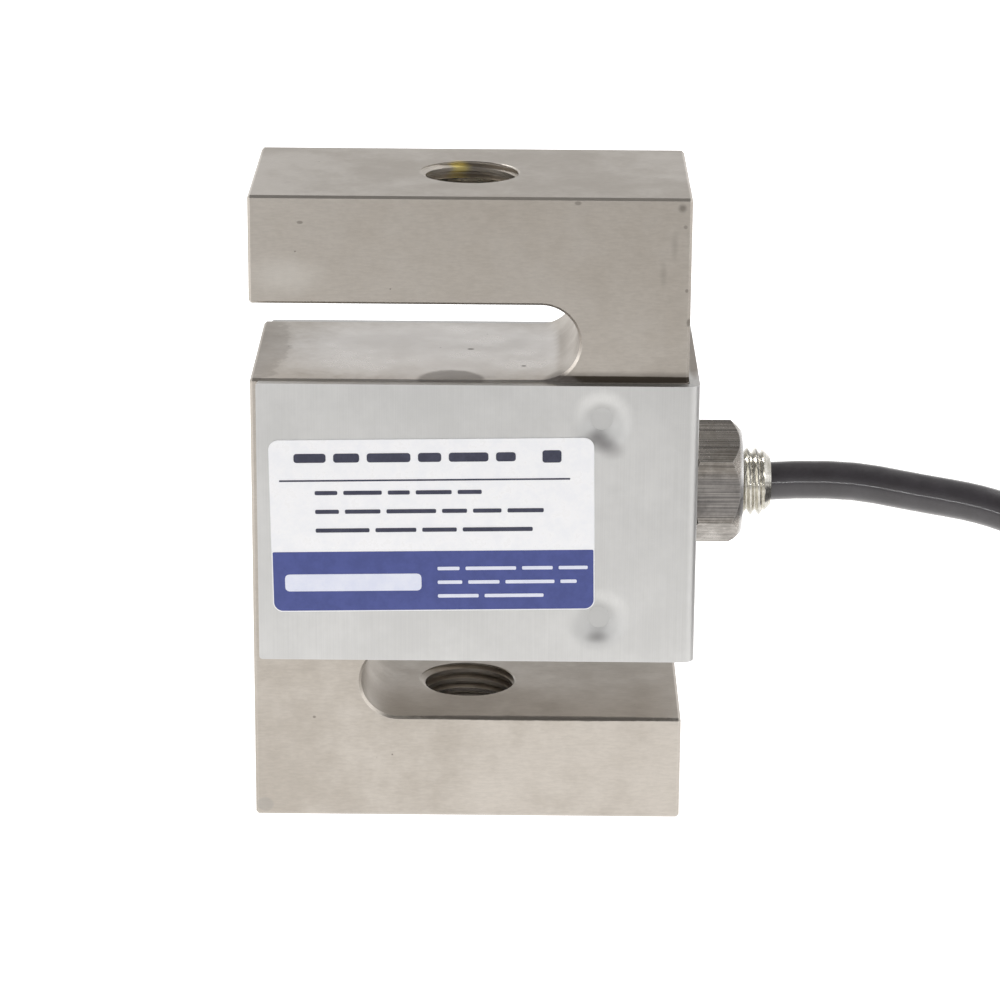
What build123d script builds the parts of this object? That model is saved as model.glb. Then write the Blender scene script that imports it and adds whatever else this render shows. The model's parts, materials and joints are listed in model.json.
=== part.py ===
from build123d import *

import math
import os

os.makedirs("parts", exist_ok=True)

# Millimetres. The origin is where the axis of the lower thread meets the base face.
# X runs towards the cable gland, Y away from the rating label and Z up.

# Spring body: one block, slotted from both sides into an S
body_width = 50.8
body_height = 76.2
body_depth = 25.4
arm_thickness = 12.7
column_width = 12.7
slot_gap = 9.0
body_chamfer = 0.3

# Load threads, M12 x 1.25, drawn at the tapping drill
thread_drill_radius = 5.4
thread_mouth_chamfer = 0.3
thread_slot_chamfer = 0.25

# Gauge pockets: blind bores from the front and the rear that leave a thin shear web
pocket_radius = 11.0
web_thickness = 3.0
wireway_radius = 3.0
wireway_overlap = 3.5

# Folded sheet cover around the front, the gland side and the rear
cover_thickness = 1.2
cover_fit = 0.1
cover_bend_radius = 0.25
cover_drop = 1.3
cover_top_step = 0.2
cover_end_step = 0.75
cover_corner_radius = 0.4

# Punched stakes that lock the cover into blind holes in the body
stake_offset_x = 15.4
stake_half_spacing = 12.2
stake_centre_drop = 0.2
stake_depth = 0.9
stake_disc_radius = 1.3
stake_flare_radius = 3.9
stake_bump_radius = 2.3
stake_tip_radius = 1.1
stake_hole_radius = 2.6
stake_hole_clearance = 0.3

# Rating label
label_width = 37.8
label_height = 21.1
label_thickness = 0.12
label_corner_radius = 1.2
label_offset_x = -4.2
label_drop = 0.85
label_tilt = 1.0

# Cable gland: a hollow threaded sleeve, M8 x 1, with a hexagon lock nut
gland_rise = 0.4
sleeve_radius = 4.0
sleeve_projection = 9.3
sleeve_engagement = 8.0
sleeve_end_chamfer = 1.1
sleeve_bore_clearance = 0.15
thread_clearance = 0.05
nut_across_flats = 13.0
nut_length = 5.8
nut_turn = 25.0
nut_outer_face_radius = 6.15
nut_inner_face_radius = 6.55
nut_bore_chamfer = 0.4
seal_recess = 1.0

# Cable
cable_diameter = 4.6
core_colours = ("red", "black", "green", "white")
core_radius = 0.55
conductor_radius = 0.35
drain_radius = 0.4

# Route of the lead from the gland to the coil, chosen by hand
lead_points = [
    (35.0, 0.0, 38.5),
    (42.5, 0.0, 38.5),
    (51.3, -1.5, 38.6),
    (59.7, -4.4, 37.3),
    (66.3, -7.4, 36.0),
    (72.6, -10.0, 35.5),
    (79.4, -11.7, 35.5),
]

# Coil of the spare cable: three turns wide and eight high, lying flat on the floor
coil_centre_x = 104.5
coil_centre_y = 16.8
coil_columns = 3
coil_layers = 8
coil_mid_radius = 24.0
coil_corner_radius = 2.2
coil_inset = 0.1
coil_stub_length = 17.6

# Route of the tail from the coil to the stripped end, chosen by hand
tail_points = [
    (129.6, -11.7, 3.5),
    (139.2, -8.9, 3.0),
    (148.7, -1.6, 2.6),
    (154.1, 9.7, 2.75),
    (154.1, 22.2, 2.75),
]

# Straps that hold the coil
strap_thickness = 1.0
strap_width = 2.6
strap_clearance = 0.1
strap_angles = (35.0, 205.0)
strap_head_length = 5.0
strap_head_width = 4.4
strap_head_height = 3.4

# Stripped end of the cable
shrink_wall = 0.4
shrink_clearance = 0.05
shrink_overlap = 7.0
shrink_tip_length = 4.0
shrink_tip_radius = 1.95
core_circle_radius = 1.05
core_fan = (-8.4, -4.6, 1.4, 4.2)
drain_fan = -1.6
tinned_length = 4.8

# Stations of a stripped core: distance from the sleeve, share of its fan, share of its drop to the floor
core_stations = (
    (5.0, 0.0, 0.0),
    (10.0, 0.35, 0.6),
    (15.3, 0.75, 0.95),
    (20.6, 1.0, 1.0),
)

# Strain gauges, terminals and trimming parts on the web
gauge_size = 7.0
gauge_thickness = 0.12
gauge_offset_x = -2.0
terminal_width = 2.2
terminal_height = 6.6
terminal_thickness = 0.95
terminal_offset_x = 5.3
board_width = 9.0
board_height = 4.0
board_thickness = 0.8
board_rise = 7.0
resistor_width = 1.6
resistor_height = 2.8
resistor_thickness = 0.6
resistor_pitch = 2.8
inner_core_pitch = 1.2
inner_core_lead = 2.4
inner_core_step = 2.2
inner_core_clearance = 0.05
potting_floor = 7.0
potting_recess = 0.3
potting_clearance = 0.05

# Places that follow from the sizes above
half_width = body_width / 2
half_depth = body_depth / 2
mid_height = body_height / 2
slot_radius = slot_gap / 2
lower_slot_floor = arm_thickness
lower_slot_roof = arm_thickness + slot_gap
upper_slot_roof = body_height - arm_thickness
upper_slot_floor = upper_slot_roof - slot_gap
gland_height = mid_height + gland_rise
cover_inner_y = half_depth + cover_fit
cover_outer_y = cover_inner_y + cover_thickness
cover_inner_x = half_width + cover_fit
cover_outer_x = cover_inner_x + cover_thickness
cover_left = -half_width + cover_end_step
cover_bottom = lower_slot_roof - cover_drop
cover_top = upper_slot_floor - cover_top_step
stake_heights = (
    mid_height - stake_centre_drop - stake_half_spacing,
    mid_height - stake_centre_drop + stake_half_spacing,
)
sleeve_start = half_width - sleeve_engagement
sleeve_end = cover_outer_x + sleeve_projection
cable_radius = cable_diameter / 2
sleeve_bore_radius = cable_radius + sleeve_bore_clearance
nut_corner_radius = nut_across_flats / 2 / math.cos(math.pi / 6)
web_face = web_thickness / 2
wireway_end = pocket_radius - wireway_overlap
coil_floor = strap_thickness + strap_clearance
coil_width = coil_columns * cable_diameter
coil_height = coil_layers * cable_diameter
coil_outer_turn = coil_mid_radius + (coil_width - cable_diameter) / 2

# How far a cutting tool stands out of what it cuts, and how near two places count as the same
OVERSHOOT = 1.0
SAME_PLACE = 0.01


def along_x(shape, x, y, z):
    """Turn a shape that was made along Z so that it runs along +X, with its origin at the given point."""
    return Pos(x, y, z) * Rot(0, 90, 0) * shape


def rod(radius, start, end):
    """Straight round rod between two points."""
    span = Vector(*end) - Vector(*start)
    plane = Plane(origin=start, z_dir=span)
    return plane * extrude(Circle(radius), amount=span.length)


def corner_radii(points):
    """Arc at each inner point of a route: 0.45 of its shorter run over the tangent of half the turn."""
    places = [Vector(*point) for point in points]
    radii = []
    for before, here, after in zip(places, places[1:], places[2:]):
        run_in = here - before
        run_out = after - here
        half_turn = math.radians(run_in.get_angle(run_out)) / 2
        radii.append(0.45 * min(run_in.length, run_out.length) / math.tan(half_turn))
    return radii


def cord_tube(name, radius, points):
    """Round tube along straight runs joined by tangent arcs."""
    radii = corner_radii(points)
    path = FilletPolyline(*points, radius=radii)
    section = Plane(origin=path @ 0, z_dir=path % 0) * Circle(radius)
    tube = sweep(section, path=path)
    expected = math.pi * radius**2 * path.length
    print(f"{name}: length {path.length:.1f}, radii {[round(value, 1) for value in radii]},")
    print(f"    volume {tube.volume:.1f} against section x length {expected:.1f}")
    return tube


def s_profile():
    """Front view of the body: a block with one slot open to the left and one open to the right."""
    profile = Pos(0, mid_height) * Rectangle(body_width, body_height)
    reach = half_width - column_width - slot_radius
    for side, floor in ((1, upper_slot_floor), (-1, lower_slot_floor)):
        end = side * reach
        mouth = -side * (half_width + OVERSHOOT)
        middle = floor + slot_radius
        profile -= Pos((end + mouth) / 2, middle) * Rectangle(abs(end - mouth), slot_gap)
        profile -= Pos(end, middle) * Circle(slot_radius)
    return profile


def ring_edges(shape, radius, height):
    """Circular edges of one radius that lie at one height."""
    circles = shape.edges().filter_by(GeomType.CIRCLE)
    return [
        edge
        for edge in circles
        if abs(edge.radius - radius) < SAME_PLACE and abs(edge.center().Z - height) < SAME_PLACE
    ]


def spring_body():
    """One-piece S with chamfered outlines, two load threads, gauge pockets, wireway and stake holes."""
    body = extrude(Plane.XZ * s_profile(), amount=half_depth, both=True)
    outlines = body.faces().sort_by(Axis.Y)
    rims = outlines[0].edges() + outlines[-1].edges()
    uprights = body.edges().filter_by(Axis.Y)
    corners = [edge for edge in uprights if abs(edge.center().X) > half_width - body_chamfer]
    body = chamfer(list(rims) + corners, body_chamfer)

    for middle in (arm_thickness / 2, body_height - arm_thickness / 2):
        body -= Pos(0, 0, middle) * Cylinder(thread_drill_radius, arm_thickness + 2 * OVERSHOOT)
    for height in (0, body_height):
        body = chamfer(ring_edges(body, thread_drill_radius, height), thread_mouth_chamfer)
    for height in (lower_slot_floor, upper_slot_roof):
        body = chamfer(ring_edges(body, thread_drill_radius, height), thread_slot_chamfer)

    pocket_depth = half_depth - web_face
    for side in (-1, 1):
        pocket = Cylinder(pocket_radius, pocket_depth + OVERSHOOT)
        middle_y = side * (web_face + (pocket_depth + OVERSHOOT) / 2)
        body -= Pos(0, middle_y, mid_height) * Rot(90, 0, 0) * pocket

    body -= rod(sleeve_radius + thread_clearance, *gland_line(sleeve_start, half_width + OVERSHOOT))
    body -= rod(wireway_radius, *gland_line(wireway_end, sleeve_start))

    hole_depth = stake_depth + stake_hole_clearance
    for side in (-1, 1):
        for height in stake_heights:
            start = (stake_offset_x, side * (half_depth - hole_depth), height)
            end = (stake_offset_x, side * (half_depth + OVERSHOOT), height)
            body -= rod(stake_hole_radius, start, end)
    return body


def gland_line(start_x, end_x):
    """Two points on the gland's axis."""
    return (start_x, 0, gland_height), (end_x, 0, gland_height)


def stake_tool(side, height):
    """Solid that a punch takes out of the cover's outer face: a flat disc with a flare drawn down to it."""
    flare_run = stake_flare_radius - stake_disc_radius
    flare_arc = (flare_run**2 + stake_depth**2) / (2 * stake_depth)
    half_turn = math.asin(flare_run / flare_arc) / 2
    middle = (
        stake_flare_radius - flare_arc * math.sin(half_turn),
        flare_arc * math.cos(half_turn) - flare_arc,
    )
    rim = (stake_flare_radius, 0)
    disc = (stake_disc_radius, -stake_depth)
    outline = [
        ThreePointArc(rim, middle, disc),
        Line(disc, (0, -stake_depth)),
        Line((0, -stake_depth), (0, OVERSHOOT)),
        Line((0, OVERSHOOT), (stake_flare_radius, OVERSHOOT)),
        Line((stake_flare_radius, OVERSHOOT), rim),
    ]
    tool = revolve(Plane.XZ * make_face(outline), Axis.Z)
    return Pos(stake_offset_x, side * cover_outer_y, height) * Rot(-90 * side, 0, 0) * tool


def stake_bump(side, height):
    """Blunt cone that the punch pushes out of the cover's inner face into the body."""
    length = stake_depth + cover_fit
    cone = Cone(stake_bump_radius, stake_tip_radius, length)
    middle_y = side * (cover_inner_y - length / 2)
    return Pos(stake_offset_x, middle_y, height) * Rot(90 * side, 0, 0) * cone


def cover_outline(left, right, half_span, radius):
    """Rectangle with its two gland-side corners rounded, as seen from above."""
    outline = Pos((left + right) / 2, 0) * Rectangle(right - left, 2 * half_span)
    return fillet(outline.vertices().group_by(Axis.X)[-1], radius)


def side_cover():
    """Sheet folded into a U, slid over the body from the gland side and staked at front and rear."""
    height = cover_top - cover_bottom
    outer = cover_outline(cover_left, cover_outer_x, cover_outer_y, cover_bend_radius + cover_thickness)
    inner = cover_outline(cover_left - OVERSHOOT, cover_inner_x, cover_inner_y, cover_bend_radius)
    cover = Pos(0, 0, cover_bottom) * extrude(outer - inner, amount=height)
    free_corners = [
        edge
        for edge in cover.edges().filter_by(Axis.Y)
        if abs(edge.center().X - cover_left) < SAME_PLACE
    ]
    cover = fillet(free_corners, cover_corner_radius)
    for side in (-1, 1):
        for stake_height in stake_heights:
            cover += stake_bump(side, stake_height)
            cover -= stake_tool(side, stake_height)
    hole = rod(sleeve_radius + thread_clearance, *gland_line(half_width, cover_outer_x + OVERSHOOT))
    return cover - hole


def rating_label():
    """Printed film with round corners on the front of the cover, stuck on a little out of square."""
    film = fillet(Rectangle(label_width, label_height).vertices(), label_corner_radius)
    film = extrude(Plane.XZ * film, amount=label_thickness)
    place = Pos(label_offset_x, -cover_outer_y, mid_height - label_drop)
    return place * Rot(0, -label_tilt, 0) * film


def gland_sleeve():
    """Hollow threaded sleeve, screwed into the body, with a long chamfer at its free end."""
    length = sleeve_end - sleeve_start
    sleeve = Cylinder(sleeve_radius, length)
    sleeve = chamfer(sleeve.edges().group_by(Axis.Z)[-1], sleeve_end_chamfer)
    sleeve -= Cylinder(sleeve_bore_radius, length + 2 * OVERSHOOT)
    return along_x(sleeve, (sleeve_start + sleeve_end) / 2, 0, gland_height)


def gland_nut():
    """Hexagon lock nut, turned to a cone at both ends, tight against the cover."""
    outer_cone = nut_corner_radius - nut_outer_face_radius
    inner_cone = (nut_corner_radius - nut_inner_face_radius) * math.tan(math.pi / 6)
    outline = Polyline(
        (0, 0),
        (nut_inner_face_radius, 0),
        (nut_corner_radius, inner_cone),
        (nut_corner_radius, nut_length - outer_cone),
        (nut_outer_face_radius, nut_length),
        (0, nut_length),
        close=True,
    )
    turned = revolve(Plane.XZ * make_face(outline), Axis.Z)
    hexagon = RegularPolygon(nut_across_flats / 2, 6, major_radius=False)
    nut = turned & extrude(hexagon, amount=nut_length)
    nut -= Cylinder(sleeve_radius + thread_clearance, 2 * nut_length + OVERSHOOT)
    nut = chamfer(ring_edges(nut, sleeve_radius + thread_clearance, nut_length), nut_bore_chamfer)
    place = Plane(origin=(cover_outer_x, 0, gland_height), x_dir=(0, 1, 0), z_dir=(1, 0, 0))
    return place * Rot(0, 0, nut_turn) * nut


def cable_seal():
    """Potting plug that fills the sleeve and grips the cable's inner end."""
    return rod(cable_radius, *gland_line(sleeve_start, sleeve_end - seal_recess))


def web_plate(width, thickness, height, x, z, level=0.0, side=-1):
    """Flat piece on the web: its back lies at a level above the web's face."""
    middle_y = side * (web_face + level + thickness / 2)
    return Pos(x, middle_y, z) * Box(width, thickness, height)


def inner_core(rank):
    """Cable core inside the body: along the wireway, over the web's edge and onto its terminal."""
    middle_rank = (len(core_colours) - 1) / 2
    z = gland_height + (rank - middle_rank) * inner_core_pitch
    landing_y = -(web_face + terminal_thickness + inner_core_clearance + core_radius)
    bend_x = wireway_end + inner_core_lead
    points = [
        (sleeve_start, 0, z),
        (bend_x, 0, z),
        (bend_x - inner_core_step, landing_y, z),
        (terminal_offset_x - terminal_width / 2, landing_y, z),
    ]
    return cord_tube(f"inner core {rank + 1}", core_radius, points)


def potting_disc(side):
    """Sealing compound that closes a gauge pocket under the cover."""
    depth = half_depth - potting_recess - potting_floor
    start = (0, side * potting_floor, mid_height)
    end = (0, side * (potting_floor + depth), mid_height)
    return rod(pocket_radius - potting_clearance, start, end)


def coil_section():
    """Outline of the coil's bundle of turns, with the round shoulders of its outermost turns."""
    outline = Pos(coil_mid_radius, coil_height / 2) * Rectangle(coil_width, coil_height)
    return fillet(outline.vertices(), coil_corner_radius)


def coil_turn_height(layer):
    """Height of the middle of a layer of turns, counted from the floor up."""
    return coil_floor + (layer + 0.5) * cable_diameter


def coil_ends():
    """Where the cable runs straight into the top of the coil and out of its foot."""
    y = coil_centre_y - coil_outer_turn + coil_inset
    top = coil_turn_height(coil_layers - 1) - coil_inset
    foot = coil_turn_height(0) + coil_inset
    return (coil_centre_x - coil_stub_length, y, top), (coil_centre_x + coil_stub_length, y, foot)


def cable_coil():
    """Outer shape of the coil, with the straight ends of its first and last turns."""
    ring = revolve(Plane.XZ * coil_section(), Axis.Z)
    coil = Pos(coil_centre_x, coil_centre_y, coil_floor) * ring
    for end in coil_ends():
        coil += rod(cable_radius, end, (coil_centre_x, end[1], end[2]))
    return coil


def coil_strap(angle):
    """Strap pulled round the coil's bundle, with its locking head on top."""
    width = coil_width + 2 * strap_clearance
    height = coil_height + 2 * strap_clearance
    outer = Rectangle(width + 2 * strap_thickness, height + 2 * strap_thickness)
    outer = fillet(outer.vertices(), coil_corner_radius + strap_thickness)
    inner = fillet(Rectangle(width, height).vertices(), coil_corner_radius)
    band = extrude(Plane.XZ * (outer - inner), amount=strap_width / 2, both=True)
    top = height / 2 + strap_thickness
    head = Pos(0, 0, top + strap_head_height / 2 - strap_thickness / 2) * Box(
        strap_head_length, strap_head_width, strap_head_height
    )
    band += head
    middle = coil_floor + coil_height / 2
    place = Pos(coil_centre_x, coil_centre_y, 0) * Rot(0, 0, angle)
    return place * Pos(coil_mid_radius, 0, middle) * band


def shrink_sleeve():
    """Shrunk sleeve over the end of the jacket, drawn in around the cores."""
    end = Vector(*tail_points[-1])
    direction = (end - Vector(*tail_points[-2])).normalized()
    outer_radius = cable_radius + shrink_clearance + shrink_wall
    outline = Polyline(
        (0, -shrink_overlap),
        (outer_radius, -shrink_overlap),
        (outer_radius, 0),
        (shrink_tip_radius, shrink_tip_length),
        (0, shrink_tip_length),
        close=True,
    )
    sleeve = revolve(Plane.XZ * make_face(outline), Axis.Z)
    jacket = Cylinder(cable_radius + shrink_clearance, shrink_overlap + OVERSHOOT)
    sleeve -= Pos(0, 0, -(shrink_overlap + OVERSHOOT) / 2) * jacket
    return Plane(origin=end, z_dir=direction) * sleeve


def free_core(offset_x, offset_z, fan, radius):
    """Route of a stripped core: straight out of the sleeve, then fanned out and down onto the floor."""
    x, y, z = tail_points[-1]
    start_y = y + shrink_tip_length
    start_z = z + offset_z
    points = [(x + offset_x, start_y, start_z)]
    for distance, spread, drop in core_stations:
        side = spread * fan + (1 - drop) * offset_x
        points.append((x + side, start_y + distance, start_z + drop * (radius - start_z)))
    return points


def build():
    """Every node of the load cell, by name."""
    nodes = {
        "spring_element": spring_body(),
        "side_cover": side_cover(),
        "rating_label": rating_label(),
        "gland_sleeve": gland_sleeve(),
        "gland_nut": gland_nut(),
        "cable_seal": cable_seal(),
    }
    for name, side in (("front", -1), ("rear", 1)):
        nodes[f"{name}_gauge"] = web_plate(
            gauge_size, gauge_thickness, gauge_size, gauge_offset_x, mid_height, side=side
        )
        nodes[f"{name}_terminal"] = web_plate(
            terminal_width, terminal_thickness, terminal_height, terminal_offset_x, gland_height, side=side
        )
        nodes[f"{name}_potting"] = potting_disc(side)
    nodes["trim_board"] = web_plate(board_width, board_thickness, board_height, 0, mid_height + board_rise)
    for rank, name in enumerate(("zero_resistor", "span_resistor", "balance_resistor")):
        nodes[name] = web_plate(
            resistor_width,
            resistor_thickness,
            resistor_height,
            (rank - 1) * resistor_pitch,
            mid_height + board_rise,
            level=board_thickness,
        )
    for rank, colour in enumerate(core_colours):
        nodes[f"inner_core_{colour}"] = inner_core(rank)

    coil_in, coil_out = coil_ends()
    nodes["cable_lead"] = cord_tube("cable lead", cable_radius, lead_points + [coil_in])
    nodes["cable_coil"] = cable_coil()
    nodes["cable_tail"] = cord_tube("cable tail", cable_radius, [coil_out] + tail_points)
    for name, angle in zip(("near_strap", "far_strap"), strap_angles):
        nodes[name] = coil_strap(angle)
    nodes["shrink_sleeve"] = shrink_sleeve()

    step = core_circle_radius / math.sqrt(2)
    corners = ((-step, step), (-step, -step), (step, -step), (step, step))
    ends = [("shield_drain", drain_radius, (0, 0), drain_fan)]
    for colour, corner, fan in zip(core_colours, corners, core_fan):
        ends.append((f"core_{colour}", core_radius, corner, fan))
    for name, radius, place, fan in ends:
        points = free_core(*place, fan, radius)
        nodes[name] = cord_tube(name, radius, points)
        tip = Vector(*points[-1])
        direction = (tip - Vector(*points[-2])).normalized()
        if name.startswith("core"):
            nodes[f"{name}_tip"] = rod(conductor_radius, tip, tip + direction * tinned_length)
    return nodes


for node_name, solid in build().items():
    export_step(solid, f"parts/{node_name}.step")
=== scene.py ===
"""An S-type load cell, dressed: plated spring body, folded cover, printed film, gland, cable and wiring."""
import json
import logging
import math
import random
from dataclasses import dataclass, field
from enum import Enum

import bmesh
import bpy
from mathutils import Matrix, Vector

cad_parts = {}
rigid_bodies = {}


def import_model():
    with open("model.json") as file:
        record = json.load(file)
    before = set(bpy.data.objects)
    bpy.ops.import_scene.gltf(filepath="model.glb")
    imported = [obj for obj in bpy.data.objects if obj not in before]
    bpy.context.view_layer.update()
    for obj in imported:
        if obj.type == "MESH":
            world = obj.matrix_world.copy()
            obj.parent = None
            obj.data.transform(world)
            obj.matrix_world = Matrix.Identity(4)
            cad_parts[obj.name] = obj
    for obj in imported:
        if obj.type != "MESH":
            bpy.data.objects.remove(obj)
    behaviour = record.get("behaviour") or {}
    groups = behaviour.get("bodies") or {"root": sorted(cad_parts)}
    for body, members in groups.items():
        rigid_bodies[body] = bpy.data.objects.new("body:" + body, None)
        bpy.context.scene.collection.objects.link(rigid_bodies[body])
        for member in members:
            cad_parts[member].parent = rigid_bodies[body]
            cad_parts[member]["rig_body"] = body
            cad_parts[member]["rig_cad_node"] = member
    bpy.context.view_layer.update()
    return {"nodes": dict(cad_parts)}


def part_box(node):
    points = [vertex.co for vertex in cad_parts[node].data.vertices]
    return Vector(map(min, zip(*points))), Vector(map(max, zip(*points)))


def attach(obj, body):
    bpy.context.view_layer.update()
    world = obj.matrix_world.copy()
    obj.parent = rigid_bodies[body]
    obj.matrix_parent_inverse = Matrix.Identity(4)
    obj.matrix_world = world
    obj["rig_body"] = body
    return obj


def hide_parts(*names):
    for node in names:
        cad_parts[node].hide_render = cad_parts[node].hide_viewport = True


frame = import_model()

MM = 0.001
BODY = "root"
WHITE = (1.0, 1.0, 1.0, 1.0)

log = logging.getLogger("load_cell")


def mm(*values: float) -> Vector:
    """Gives a point in metres for three lengths in millimetres."""
    return Vector(values) * MM


def srgb(red: float, green: float, blue: float) -> tuple[float, float, float, float]:
    """Turns a screen colour into the linear colour that shaders work in.

    Args:
        red: Red from 0 to 255.
        green: Green from 0 to 255.
        blue: Blue from 0 to 255.

    Returns:
        Linear red, green, blue and an alpha of 1.
    """
    linear = [((v / 255 + 0.055) / 1.055) ** 2.4 if v > 10 else v / 255 / 12.92 for v in (red, green, blue)]
    return (linear[0], linear[1], linear[2], 1.0)


class Graph:
    """A shader node tree that is being wired."""

    def __init__(self, tree: bpy.types.NodeTree) -> None:
        """Keeps the tree that nodes are added to."""
        self.tree = tree

    def node(self, kind: str, inputs: dict | None = None, **settings: object) -> bpy.types.Node:
        """Adds one node.

        Args:
            kind: The node's type.
            inputs: What each input, by name or place, is set to or linked from.
            **settings: The node's own properties, which are set first.

        Returns:
            The new node.
        """
        made = self.tree.nodes.new(kind)
        for key, value in settings.items():
            setattr(made, key, value)
        for key, value in (inputs or {}).items():
            self.feed(made.inputs[key], value)
        return made

    def feed(self, socket: bpy.types.NodeSocket, value: object) -> None:
        """Links a socket if the value is one, or else sets its constant."""
        if isinstance(value, bpy.types.NodeSocket):
            self.tree.links.new(value, socket)
        else:
            socket.default_value = value

    def math(self, operation: str, first: object, second: object = 0.0) -> bpy.types.NodeSocket:
        """Works out one sum of two numbers.

        Args:
            operation: The kind of sum.
            first: The first number or socket.
            second: The second number or socket.

        Returns:
            The socket that holds the result.
        """
        return self.node("ShaderNodeMath", {0: first, 1: second}, operation=operation).outputs[0]

    def vector(self, operation: str, first: object, second: object) -> bpy.types.Node:
        """Works out one sum of two vectors.

        Args:
            operation: The kind of sum.
            first: The first vector or socket.
            second: The second vector or socket.

        Returns:
            The node, whose first output is a vector and whose second is a number.
        """
        return self.node("ShaderNodeVectorMath", {0: first, 1: second}, operation=operation)

    def ramp(self, value: object, low: float, high: float, start: float = 0.0, end: float = 1.0) -> object:
        """Carries a number smoothly from one range to another.

        Args:
            value: The number or socket.
            low: Where the incoming range starts.
            high: Where it ends.
            start: What the low end becomes.
            end: What the high end becomes.

        Returns:
            The socket that holds the result.
        """
        inputs = {"Value": value, "From Min": low, "From Max": high, "To Min": start, "To Max": end}
        return self.node("ShaderNodeMapRange", inputs, interpolation_type="SMOOTHSTEP").outputs["Result"]

    def blend(self, factor: object, first: object, second: object, how: str = "MIX") -> object:
        """Mixes two colours.

        Args:
            factor: How much of the second colour shows.
            first: The first colour or socket.
            second: The second colour or socket.
            how: The way that they mix.

        Returns:
            The socket that holds the mixed colour.
        """
        made = self.node("ShaderNodeMix", {0: factor, 6: first, 7: second}, data_type="RGBA", blend_type=how)
        return made.outputs[2]

    def place_mm(self) -> bpy.types.NodeSocket:
        """Gives the point on the surface in millimetres, in the frame that every piece shares."""
        point = self.node("ShaderNodeTexCoord").outputs["Object"]
        return self.vector("MULTIPLY", point, (1 / MM,) * 3).outputs[0]

    def noise(self, vector: object, scale: object, detail: float = 3.0, roughness: float = 0.55) -> object:
        """Adds a cloudy noise.

        Args:
            vector: Where the noise is read.
            scale: How fine it is.
            detail: How many finer layers it has.
            roughness: How strong the finer layers are.

        Returns:
            The socket that holds the noise, around a half.
        """
        inputs = {"Vector": vector, "Scale": scale, "Detail": detail, "Roughness": roughness}
        return self.node("ShaderNodeTexNoise", inputs).outputs[0]


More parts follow.
